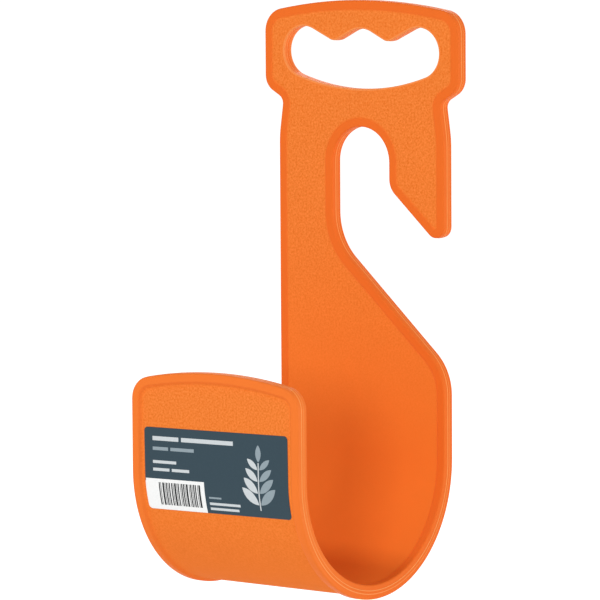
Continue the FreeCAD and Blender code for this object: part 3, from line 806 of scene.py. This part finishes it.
@dataclass(frozen=True)
class Label:
    """The printed film on the lip. In its plane, u runs right and v up, from its middle."""

    moulding: Moulding
    width: float
    top: float
    thickness: float = 0.2
    wrap_angle: float = 17.4
    corner_radius: float = 2.0
    tilt: float = 0.9
    row_pitch: float = 1.3
    column_pitch: float = 5.0
    edge_margin: float = 0.35
    edge_bevel: float = 0.05
    weld: float = 1e-4
    # The white panel fills the lower left corner up to these distances from the left and upper edges, and
    # runs off the film at its other sides.
    panel_right: float = 35.7
    panel_top: float = 24.2
    panel_overrun: float = 1.0
    # The upright bars on the panel: their unit of width, and where their field lies.
    bar_unit: float = 0.36
    bars_left: float = 8.0
    bars_right: float = 33.0
    bars_high: float = 25.8
    bars_low: float = 36.4
    # The sprig: its foot, its stem, its pairs of leaves, which get shorter upwards, and the leaf on top.
    sprig_foot: tuple[float, float] = (25.5, -16.0)
    sprig_rise: float = 22.0
    stem_half: float = 0.32
    leaf_pairs: int = 4
    leaf_pitch: float = 5.4
    first_leaf: float = 2.5
    leaf_gap: float = 0.25
    leaf_lean: float = 50.0
    leaf_length: float = 12.0
    leaf_taper: float = 1.4
    leaf_girth_share: float = 0.36
    top_leaf_gap: float = 0.3
    top_leaf_length: float = 8.0
    top_leaf_girth: float = 3.2

    @classmethod
    def from_frame(cls, moulding: Moulding) -> "Label":
        """Reads the film's width and upper edge off the CAD model's box."""
        low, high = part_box("label")
        return cls(moulding=moulding, width=(high.x - low.x) / MM, top=high.z / MM + moulding.bend.drop)

    @property
    def bend(self) -> SaddleBend:
        """The bend of the sheet that the film lies on."""
        return self.moulding.bend

    @property
    def height(self) -> float:
        """Height of the film when it is laid flat."""
        return self.top + math.radians(self.wrap_angle) * self.bend.radius

    def on_sheet(self, spot: Vector) -> Vector:
        """Where a point of the label lies on the flat sheet; the label sits a little askew."""
        turned = Matrix.Rotation(math.radians(self.tilt), 2) @ spot
        middle = self.bend.end - self.top + self.height / 2
        return Vector((turned.x, middle - turned.y))

    def outline(self) -> list[Station]:
        """The film's edge, with round corners, and with points where the white panel ends."""
        half_u, half_v = self.width / 2 - self.corner_radius, self.height / 2 - self.corner_radius
        arcs = []
        for quarter, (u, v) in enumerate(((1, 1), (-1, 1), (-1, -1), (1, -1))):
            centre = Vector((u * half_u, v * half_v))
            arcs.append(Arc(centre, self.corner_radius, quarter * 90, quarter * 90 + 90))
        panel_end = {1: Vector((-self.width / 2, self.height / 2 - self.panel_top)),
                     2: Vector((self.panel_right - self.width / 2, -self.height / 2))}
        edge = []
        for number, (arc, following) in enumerate(zip(arcs, arcs[1:] + arcs[:1])):
            stops = [polar(arc.centre, arc.radius, arc.finish)]
            if number in panel_end:
                stops.append(panel_end[number])
            stops.append(polar(following.centre, following.radius, following.begin))
            edge.append(arc)
            edge += [Line(start, end, self.row_pitch) for start, end in zip(stops, stops[1:])]
        return follow(edge)

    def bar(self, left: float, right: float, high: float, low: float) -> list[Vector]:
        """A rectangle, given from the label's left and upper edges, split as the bend needs.

        Args:
            left: distance of its left side from the label's left edge.
            right: distance of its right side from the label's left edge.
            high: distance of its upper side from the label's upper edge.
            low: distance of its lower side from the label's upper edge.

        Returns:
            Its loop of points, anticlockwise.
        """
        u0, u1 = left - self.width / 2, right - self.width / 2
        v0, v1 = self.height / 2 - low, self.height / 2 - high
        corners = [Vector(corner) for corner in ((u0, v0), (u1, v0), (u1, v1), (u0, v1))]
        sides = [Line(start, end, self.row_pitch) for start, end in zip(corners, corners[1:] + corners[:1])]
        return [station.spot for station in follow(sides)]

    def leaf(self, root: Vector, angle: float, length: float, girth: float) -> list[Vector]:
        """A leaf between two arcs.

        Args:
            root: the leaf's foot.
            angle: the direction of its midrib.
            length: its length.
            girth: its greatest width.

        Returns:
            Its loop of points, anticlockwise.
        """
        half = length / 2
        sag = girth / 2
        radius = (half ** 2 + sag ** 2) / (2 * sag)
        opening = math.degrees(math.asin(half / radius))
        middle = polar(root, half, angle)
        loop = []
        for side in (-90, 90):
            centre = polar(middle, radius - sag, angle - side)
            towards = angle + side
            arc = Arc(centre, radius, towards - opening, towards + opening)
            loop += [station.spot for station in arc.stations()]
        return loop

    def code_bars(self) -> list[Patch]:
        """Upright bars of a plain repeating rhythm on the white panel."""
        bar_widths, gap_widths = cycle((2, 1, 3, 1, 2, 1, 2)), cycle((1, 2, 1, 1, 1))
        left, found = self.bars_left, []
        while left < self.bars_right:
            right = left + next(bar_widths) * self.bar_unit
            found.append(Patch(self.bar(left, right, self.bars_high, self.bars_low), Finish.BLACK))
            left = right + next(gap_widths) * self.bar_unit
        return found

    def ruled_lines(self) -> list[Patch]:
        """Pale rules in rows: the left, right, upper and lower sides of each, and its ink."""
        rules = [
            (5.0, 20.8, 4.2, 6.2, Finish.PALE), (22.4, 53.6, 4.2, 6.2, Finish.PALE),
            (5.0, 14.4, 9.2, 10.8, Finish.MIST), (15.8, 30.0, 9.2, 10.8, Finish.MIST),
            (5.0, 19.2, 15.6, 17.0, Finish.PALE),
            (5.0, 15.0, 19.2, 20.6, Finish.PALE), (16.4, 27.0, 19.2, 20.6, Finish.PALE),
            (38.0, 45.4, 30.8, 31.6, Finish.MIST),
            (38.0, 56.4, 33.4, 34.6, Finish.PALE), (38.0, 55.2, 35.8, 37.0, Finish.PALE),
        ]
        return [Patch(self.bar(*sides), ink) for *sides, ink in rules]

    def sprig(self) -> list[Patch]:
        """A plain sprig of leaves on the right of the label."""
        foot, stem = Vector(self.sprig_foot), self.stem_half
        middle, low = foot.x + self.width / 2, self.height / 2 - foot.y
        found = [Patch(self.bar(middle - stem, middle + stem, low - self.sprig_rise, low), Finish.PALE)]
        for pair in range(self.leaf_pairs):
            rise = self.first_leaf + pair * self.leaf_pitch
            length = self.leaf_length - self.leaf_taper * pair
            for side, ink in ((1, Finish.MIST), (-1, Finish.PALE)):
                root = foot + Vector((side * (stem + self.leaf_gap), rise))
                leaf = self.leaf(root, 90 - side * self.leaf_lean, length, length * self.leaf_girth_share)
                found.append(Patch(leaf, ink))
        tip = foot + Vector((0, self.sprig_rise + self.top_leaf_gap))
        found.append(Patch(self.leaf(tip, 90, self.top_leaf_length, self.top_leaf_girth), Finish.MIST))
        return found

    def print_patches(self, face: list[Vector]) -> list[Patch]:
        """All that is printed, from the ground upwards.

        Args:
            face: the loop round the film's flat face.

        Returns:
            The ground and the shapes on it, later ones on top.
        """
        ground = Patch(face, Finish.SLATE)
        past = self.panel_overrun
        panel = Patch(self.bar(-past, self.panel_right, self.panel_top, self.height + past), Finish.WHITE)
        return [ground, panel] + self.code_bars() + self.ruled_lines() + self.sprig()

    def face_triangles(self, patches: list[Patch]) -> tuple[list[Vector], list[list[int]], list[list[int]]]:
        """Splits the film's face into triangles along the edges of its print.

        Args:
            patches: the ground and the shapes on it.

        Returns:
            The points, the triangles that lie on the film, and for each point the loop points it stands for.
        """
        spots, links = [], []
        for patch in patches:
            first, count = len(spots), len(patch.loop)
            links += [(first + step, first + (step + 1) % count) for step in range(count)]
            spots += patch.loop
        rows, columns = round(self.height / self.row_pitch), round(self.width / self.column_pitch)
        for row in range(1, rows):
            v = self.height * (row / rows - 0.5)
            spots += [Vector((self.width * (column / columns - 0.5), v)) for column in range(1, columns)]
        spots, _, triangles, sources, _, _ = delaunay_2d_cdt(spots, links, [], 0, self.weld)
        kept = [triangle for triangle in triangles if patches[0].covers(centroid(spots, triangle))]
        return spots, kept, sources

    def build(self) -> bpy.types.Object:
        """Makes the flat film with its print."""
        flat = FlatMesh("printed_label")
        stations = self.outline()
        bottom = self.moulding.thickness / 2 - self.moulding.lip_recess
        top = bottom + self.thickness
        face = [station.inset(self.edge_margin) for station in stations]
        patches = self.print_patches(face)

        def ink_at(spot: Vector) -> Finish:
            """The uppermost ink at a point."""
            return next((patch.ink for patch in reversed(patches) if patch.covers(spot)), Finish.SLATE)

        spots, triangles, sources = self.face_triangles(patches)
        upper, lower = {}, {}
        for triangle in triangles:
            for corner in triangle:
                if corner not in upper:
                    place = self.on_sheet(spots[corner])
                    upper[corner], lower[corner] = flat.add_vertex(place, top), flat.add_vertex(place, bottom)
            flat.add_face([upper[corner] for corner in triangle], ink_at(centroid(spots, triangle)))
            flat.add_face([lower[corner] for corner in reversed(triangle)], Finish.WHITE)

        # The film's rim joins the outline of the face to the lip.
        at_edge = {source: spot for spot in upper for source in sources[spot] if source < len(face)}
        walls = []
        for number, station in enumerate(stations):
            shoulder = flat.add_vertex(self.on_sheet(station.inset(self.edge_bevel)), top)
            brow = flat.add_vertex(self.on_sheet(station.spot), top - self.edge_bevel)
            toe = flat.add_vertex(self.on_sheet(station.spot), bottom)
            walls.append([upper[at_edge[number]], shoulder, brow, toe, lower[at_edge[number]]])
        for number, (wall, following) in enumerate(zip(walls, walls[1:] + walls[:1])):
            ink = ink_at(stations[number].inset(2 * self.edge_margin))
            for step in range(len(wall) - 1):
                flat.add_face([wall[step], wall[step + 1], following[step + 1], following[step]], ink)
        return flat.to_object()

    def dress(self, piece: bpy.types.Object) -> None:
        """Bends the film round the saddle, gives it its inks and sets it in the frame."""
        inks = {ink: PrintedFilm(ink).material() for ink in PrintedFilm.COLOURS}
        self.bend.apply(piece, inks)
        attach(piece, "root")
        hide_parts("label")


@dataclass(frozen=True)
class MouldedPolypropylene:
    """Orange polypropylene: matt, pebbled fields with a pale bloom, and smooth, deeper orange edges.

    The fields take the grain of the mould's spark-eroded walls, and the edges are polished. The saddle's
    curve is drawn out of the mould along its wall, so the grain fades out there.
    """

    grain_dark: str = "E87223"
    grain_pale: str = "FF8F42"
    edge_colour: str = "F27127"
    lip_edge_colour: str = "F87D31"
    # A pale colour painted along the bands' ledges and the hand hole's edge, as a highlight.
    painted_glint_colour: str = "FFAE66"
    curve_colour: str = "FA7E2E"
    field_roughness: float = 0.58
    edge_roughness: float = 0.4
    curve_roughness: float = 0.75
    ior: float = 1.49
    specular: float = 0.04
    # Polished steel in the mould leaves a thin skin with a faint shine on the edges.
    edge_skin: float = 0.03
    skin_roughness: float = 0.34
    # The real grain is about 0.3 mm. It is drawn coarser here, so that it shows in the render.
    grain: float = 1.0
    grain_depth: float = 0.09
    grain_contrast: tuple[float, float] = (0.3, 0.7)
    # The wall ripples a little as it shrinks in the mould, and the melt's flow leaves wide, faint clouds.
    ripple: float = 2.5
    ripple_depth: float = 0.03
    ripple_strength: float = 0.25
    ripple_sheen: float = 0.08
    flow: float = 25.0
    flow_tone: float = 0.03
    # The grain thins out into the saddle: down the plate, and down the lip and back under it.
    fade_direction: tuple[float, float, float] = (0.0, -0.9, 1.0)
    fade_from: float = 10.0
    fade_to: float = -160.0
    # The lip's edges are paler than the plate's, from the saddle's lowest line forwards.
    lip_from: float = -60.0
    lip_to: float = -105.0

    def grain_mask(self, place: bpy.types.NodeSocket, on_field: bpy.types.NodeSocket) -> bpy.types.NodeSocket:
        """How much grain the wall has.

        Args:
            place: the Object coordinates.
            on_field: one on the fields and zero on the edges.

        Returns:
            One for full grain on a field; it falls to zero at the edges and in the saddle.
        """
        tree = place.id_data
        way_out = add_node(tree, "ShaderNodeVectorMath", {"operation": "DOT_PRODUCT"}, {
            0: place, 1: self.fade_direction}).outputs["Value"]
        grown = add_node(tree, "ShaderNodeMapRange", {"interpolation_type": "SMOOTHSTEP"}, {
            "Value": way_out,
            "From Min": self.fade_to * MM,
            "From Max": self.fade_from * MM}).outputs["Result"]
        return add_node(tree, "ShaderNodeMath", {"operation": "MULTIPLY"}, {0: grown, 1: on_field}).outputs[0]

    def colour(self, place: bpy.types.NodeSocket, on_field: bpy.types.NodeSocket,
               grained: bpy.types.NodeSocket, pebbles: bpy.types.NodeSocket) -> bpy.types.NodeSocket:
        """The plastic's colour: speckled fields, plain curve, deeper edges and pale painted highlights.

        Args:
            place: the Object coordinates.
            on_field: one on the fields and zero on the edges.
            grained: how much grain the wall has.
            pebbles: the height of the grain.

        Returns:
            The colour.
        """
        tree = place.id_data
        darkest, palest = self.grain_contrast
        speckle = add_node(tree, "ShaderNodeMapRange", inputs={
            "Value": pebbles, "From Min": darkest, "From Max": palest}).outputs["Result"]
        forward = add_node(tree, "ShaderNodeSeparateXYZ", inputs={0: place}).outputs["Y"]
        on_lip = add_node(tree, "ShaderNodeMapRange", inputs={
            "Value": forward, "From Min": self.lip_from * MM, "From Max": self.lip_to * MM}).outputs["Result"]
        # The painted highlight: a pale colour mixed in where the mesh marks it.
        painted_glint = add_node(tree, "ShaderNodeAttribute", {"attribute_name": "painted_glint"}).outputs["Fac"]
        mixes = (
            ("speckled", speckle, self.grain_dark, self.grain_pale),
            ("edge", on_lip, self.edge_colour, self.lip_edge_colour),
            ("smooth", on_field, "edge", self.curve_colour),
            ("wall", grained, "smooth", "speckled"),
            ("with_painted_glint", painted_glint, "wall", self.painted_glint_colour),
        )
        mixed = {}
        for name, share, *pair in mixes:
            first, second = (mixed[tone] if tone in mixed else linear_rgba(tone) for tone in pair)
            mixed[name] = add_node(tree, "ShaderNodeMix", {"data_type": "RGBA"}, {
                "Factor": share, MIX_FIRST: first, MIX_SECOND: second}).outputs[MIX_RESULT]
        clouds = add_node(tree, "ShaderNodeTexNoise", {"noise_dimensions": "3D"}, {
            "Vector": place, "Scale": 1 / (self.flow * MM), "Detail": 3.0, "Distortion": 0.6}).outputs["Fac"]
        level = add_node(tree, "ShaderNodeMapRange", inputs={
            "Value": clouds, "To Min": 1 - self.flow_tone, "To Max": 1 + self.flow_tone}).outputs["Result"]
        return add_node(tree, "ShaderNodeHueSaturation", inputs={
            "Value": level, "Color": mixed["with_painted_glint"]}).outputs["Color"]

    def sheen(self, on_field: bpy.types.NodeSocket, grained: bpy.types.NodeSocket,
              ripples: bpy.types.NodeSocket) -> bpy.types.NodeSocket:
        """The plastic's roughness.

        Args:
            on_field: one on the fields and zero on the edges.
            grained: how much grain the wall has.
            ripples: the height of the wall's ripples.

        Returns:
            The roughness.
        """
        tree = on_field.id_data
        plain = add_node(tree, "ShaderNodeMapRange", inputs={
            "Value": on_field,
            "To Min": self.edge_roughness,
            "To Max": self.curve_roughness}).outputs["Result"]
        matt = add_node(tree, "ShaderNodeMapRange", inputs={
            "Value": grained, "To Min": plain, "To Max": self.field_roughness}).outputs["Result"]
        return add_node(tree, "ShaderNodeMath", {"operation": "MULTIPLY_ADD"}, {
            0: ripples, 1: self.ripple_sheen, 2: matt}).outputs[0]

    def relief(self, grained: bpy.types.NodeSocket, pebbles: bpy.types.NodeSocket,
               ripples: bpy.types.NodeSocket) -> bpy.types.NodeSocket:
        """The plastic's fine relief.

        Args:
            grained: how much grain the wall has.
            pebbles: the height of the grain.
            ripples: the height of the wall's ripples.

        Returns:
            The normal.
        """
        tree = grained.id_data
        swell = add_node(tree, "ShaderNodeBump", inputs={
            "Height": ripples,
            "Strength": self.ripple_strength,
            "Distance": self.ripple_depth * MM}).outputs["Normal"]
        return add_node(tree, "ShaderNodeBump", inputs={
            "Height": pebbles,
            "Strength": grained,
            "Distance": self.grain_depth * MM,
            "Normal": swell}).outputs["Normal"]

    def material(self) -> bpy.types.Material:
        """Builds the shader."""
        material = bpy.data.materials.new("orange_polypropylene")
        material.use_nodes = True
        tree = material.node_tree
        place = add_node(tree, "ShaderNodeTexCoord").outputs["Object"]
        on_field = add_node(tree, "ShaderNodeAttribute", {"attribute_name": "grain"}).outputs["Fac"]
        grained = self.grain_mask(place, on_field)
        pebbles = add_node(tree, "ShaderNodeTexNoise", {"noise_dimensions": "3D"}, {
            "Vector": place, "Scale": 1 / (self.grain * MM), "Detail": 2.0, "Roughness": 0.6}).outputs["Fac"]
        ripples = add_node(tree, "ShaderNodeTexNoise", {"noise_dimensions": "3D"}, {
            "Vector": place, "Scale": 1 / (self.ripple * MM), "Detail": 2.0}).outputs["Fac"]
        skin = add_node(tree, "ShaderNodeMapRange", inputs={
            "Value": on_field, "To Min": self.edge_skin, "To Max": 0.0}).outputs["Result"]
        feed(tree.nodes["Principled BSDF"], {
            "Base Color": self.colour(place, on_field, grained, pebbles),
            "Roughness": self.sheen(on_field, grained, ripples),
            "Normal": self.relief(grained, pebbles, ripples),
            "Coat Weight": skin,
            "Coat Roughness": self.skin_roughness,
            "IOR": self.ior,
            "Specular IOR Level": self.specular,
        })
        return material


@dataclass(frozen=True)
class PrintedFilm:
    """Polypropylene label film with one flat ink: even colour under a low, slightly rippled gloss."""

    ink: Finish
    roughness: float = 0.42
    ior: float = 1.49
    specular: float = 0.1
    # The film follows the lip's unevenness, and its ink is slightly mottled.
    mottle: float = 1.2
    mottle_tone: float = 0.05
    mottle_sheen: float = 0.1
    mottle_depth: float = 0.02
    mottle_strength: float = 0.2

    COLOURS: ClassVar[dict[Finish, str]] = {
        Finish.SLATE: "394B55",
        Finish.WHITE: "FAFBFA",
        Finish.BLACK: "25282A",
        Finish.PALE: "D3D9DC",
        Finish.MIST: "96A5AD",
    }

    def material(self) -> bpy.types.Material:
        """Builds the shader."""
        material = bpy.data.materials.new(f"label_film_{self.ink.name.lower()}_ink")
        material.use_nodes = True
        tree = material.node_tree
        place = add_node(tree, "ShaderNodeTexCoord").outputs["Object"]
        mottled = add_node(tree, "ShaderNodeTexNoise", {"noise_dimensions": "3D"}, {
            "Vector": place, "Scale": 1 / (self.mottle * MM), "Detail": 3.0}).outputs["Fac"]
        level = add_node(tree, "ShaderNodeMapRange", inputs={
            "Value": mottled,
            "To Min": 1 - self.mottle_tone,
            "To Max": 1 + self.mottle_tone}).outputs["Result"]
        colour = add_node(tree, "ShaderNodeHueSaturation", inputs={
            "Value": level, "Color": linear_rgba(self.COLOURS[self.ink])}).outputs["Color"]
        gloss = add_node(tree, "ShaderNodeMath", {"operation": "MULTIPLY_ADD"}, {
            0: mottled, 1: self.mottle_sheen, 2: self.roughness - self.mottle_sheen / 2}).outputs[0]
        bump = add_node(tree, "ShaderNodeBump", inputs={
            "Height": mottled,
            "Strength": self.mottle_strength,
            "Distance": self.mottle_depth * MM}).outputs["Normal"]
        feed(tree.nodes["Principled BSDF"], {
            "Base Color": colour,
            "Roughness": gloss,
            "Normal": bump,
            "IOR": self.ior,
            "Specular IOR Level": self.specular,
        })
        return material


@dataclass(frozen=True)
class Softbox:
    """An area lamp that looks at the part's middle."""

    name: str
    azimuth: float
    elevation: float
    distance: float
    width: float
    height: float
    power: float


class Lamp(Enum):
    """The studio's lamps; angles are in degrees round the part, sizes in metres, power in watts."""

    TOP = Softbox("top_softbox", -5, 48, 4.0, 0.5, 0.5, 36.5)
    FRONT = Softbox("front_softbox", 21, 9, 4.0, 1.1, 1.0, 37.5)
    LEFT = Softbox("left_strip", -20, 6, 1.6, 0.15, 0.9, 1.5)
    RIM = Softbox("rim_strip", 120, 2, 1.6, 0.25, 1.2, 11.1)
    BACK = Softbox("back_softbox", 212, 32, 4.0, 1.5, 1.2, 31.5)


@dataclass(frozen=True)
class Studio:
    """Camera, lamps, white surround and floor."""

    # The camera was found by fitting the part's outline to the photograph.
    azimuth: float = 37.985
    elevation: float = 5.253
    roll: float = -0.343
    distance: float = 2074.9
    focal_pixels: float = 4269.27
    aim: tuple[float, float, float] = (0.0, 0.0, -73.65)
    aim_shift: tuple[float, float] = (31.66, -6.517)
    sensor: float = 36.0
    # From here on lengths are in metres. The floor is a mix of paper and of its own light.
    view_end: float = 100.0
    floor_gap: float = 0.3
    floor_size: float = 60.0
    floor_glow_share: float = 0.5
    white: str = "FFFFFF"
    paper: str = "F3F3F3"
    surround_light: float = 0.365
    floor_light: float = 0.88
    floor_glow: float = 1.85

    @staticmethod
    def direction(azimuth: float, elevation: float) -> Vector:
        """The direction from the part to a viewer at these angles."""
        turn, lift = math.radians(azimuth), math.radians(elevation)
        return Vector((math.sin(turn) * math.cos(lift), -math.cos(turn) * math.cos(lift), math.sin(lift)))

    def add_camera(self) -> None:
        """Sets the camera at the photograph's viewing angle."""
        back = self.direction(self.azimuth, self.elevation)
        right = heading(self.azimuth).to_3d()
        up = back.cross(right)
        shift_right, shift_up = self.aim_shift
        place = Vector(self.aim) - right * shift_right - up * shift_up + back * self.distance
        tip = math.radians(self.roll)
        level_right = right * math.cos(tip) + up * math.sin(tip)
        level_up = up * math.cos(tip) - right * math.sin(tip)
        data = bpy.data.cameras.new("photograph_camera")
        data.sensor_width = self.sensor
        data.lens = self.focal_pixels / IMAGE_PIXELS * self.sensor
        data.clip_end = self.view_end
        camera = bpy.data.objects.new("photograph_camera", data)
        axes = Matrix((level_right, level_up, back)).transposed()
        camera.matrix_world = Matrix.Translation(place * MM) @ axes.to_4x4()
        bpy.context.scene.collection.objects.link(camera)
        bpy.context.scene.camera = camera

    def add_lamps(self) -> None:
        """Sets the softboxes round the part."""
        middle = (Vector(CAD_BOX[0]) + Vector(CAD_BOX[1])) / 2
        for lamp in Lamp:
            box = lamp.value
            data = bpy.data.lights.new(box.name, "AREA")
            data.shape = "RECTANGLE"
            data.size, data.size_y = box.width, box.height
            data.energy = box.power
            towards = self.direction(box.azimuth, box.elevation)
            light = bpy.data.objects.new(box.name, data)
            place = Matrix.Translation(middle + towards * box.distance)
            light.matrix_world = place @ towards.to_track_quat("Z", "Y").to_matrix().to_4x4()
            bpy.context.scene.collection.objects.link(light)

    def seen_directly(self, tree: bpy.types.NodeTree) -> bpy.types.NodeSocket:
        """One for rays from the camera, from gloss and through glass, and zero for the rest."""
        path = add_node(tree, "ShaderNodeLightPath").outputs
        direct = add_node(tree, "ShaderNodeMath", {"operation": "MAXIMUM"}, {
            0: path["Is Camera Ray"], 1: path["Is Glossy Ray"]}).outputs[0]
        return add_node(tree, "ShaderNodeMath", {"operation": "MAXIMUM"}, {
            0: direct, 1: path["Is Transmission Ray"]}).outputs[0]

    def add_surround(self) -> None:
        """Lights the part from a white surround, which looks white itself."""
        world = bpy.data.worlds.new("white_surround")
        world.use_nodes = True
        tree = world.node_tree
        tree.nodes.clear()
        light, seen = (add_node(tree, "ShaderNodeBackground", inputs={
            "Color": linear_rgba(self.white), "Strength": strength}).outputs[0]
            for strength in (self.surround_light, 1.0))
        mix = add_node(tree, "ShaderNodeMixShader", inputs={
            0: self.seen_directly(tree), 1: light, 2: seen}).outputs[0]
        add_node(tree, "ShaderNodeOutputWorld", inputs={"Surface": mix})
        bpy.context.scene.world = world

    def add_floor(self) -> None:
        """Lays a floor of white paper under the hanging part; it keeps a soft shadow."""
        level = CAD_BOX[0][2] - self.floor_gap
        half = self.floor_size / 2
        mesh = bpy.data.meshes.new("studio_floor")
        corners = ((-half, -half), (half, -half), (half, half), (-half, half))
        mesh.from_pydata([(x, y, level) for x, y in corners], [], [(0, 1, 2, 3)])
        floor = bpy.data.objects.new("studio_floor", mesh)
        bpy.context.scene.collection.objects.link(floor)
        material = bpy.data.materials.new("white_paper")
        material.use_nodes = True
        tree = material.node_tree
        tree.nodes.clear()
        paper = add_node(tree, "ShaderNodeBsdfDiffuse", inputs={"Color": linear_rgba(self.paper)}).outputs[0]
        strength = add_node(tree, "ShaderNodeMapRange", inputs={
            "Value": self.seen_directly(tree),
            "To Min": self.floor_light,
            "To Max": self.floor_glow}).outputs[0]
        glow = add_node(tree, "ShaderNodeEmission", inputs={
            "Color": linear_rgba(self.white), "Strength": strength}).outputs[0]
        both = add_node(tree, "ShaderNodeMixShader", inputs={
            0: self.floor_glow_share, 1: paper, 2: glow}).outputs[0]
        add_node(tree, "ShaderNodeOutputMaterial", inputs={"Surface": both})
        mesh.materials.append(material)

    def build(self) -> None:
        """Sets up the whole studio."""
        bpy.context.scene.view_settings.view_transform = "Standard"
        self.add_camera()
        self.add_lamps()
        self.add_surround()
        self.add_floor()


def report_piece(piece: bpy.types.Object) -> None:
    """Logs a finished piece and its number of faces."""
    LOG.info("%s: %d faces", piece.name, len(piece.data.polygons))


def main() -> None:
    """Builds the moulding, the label and the studio."""
    logging.basicConfig(level=logging.INFO, format="%(name)s: %(message)s")
    moulding = Moulding.from_frame(SaddleBend.from_frame())
    for part in (moulding, Label.from_frame(moulding)):
        piece = part.build()
        part.dress(piece)
        report_piece(piece)
    Studio().build()


if __name__ == "__main__":
    main()
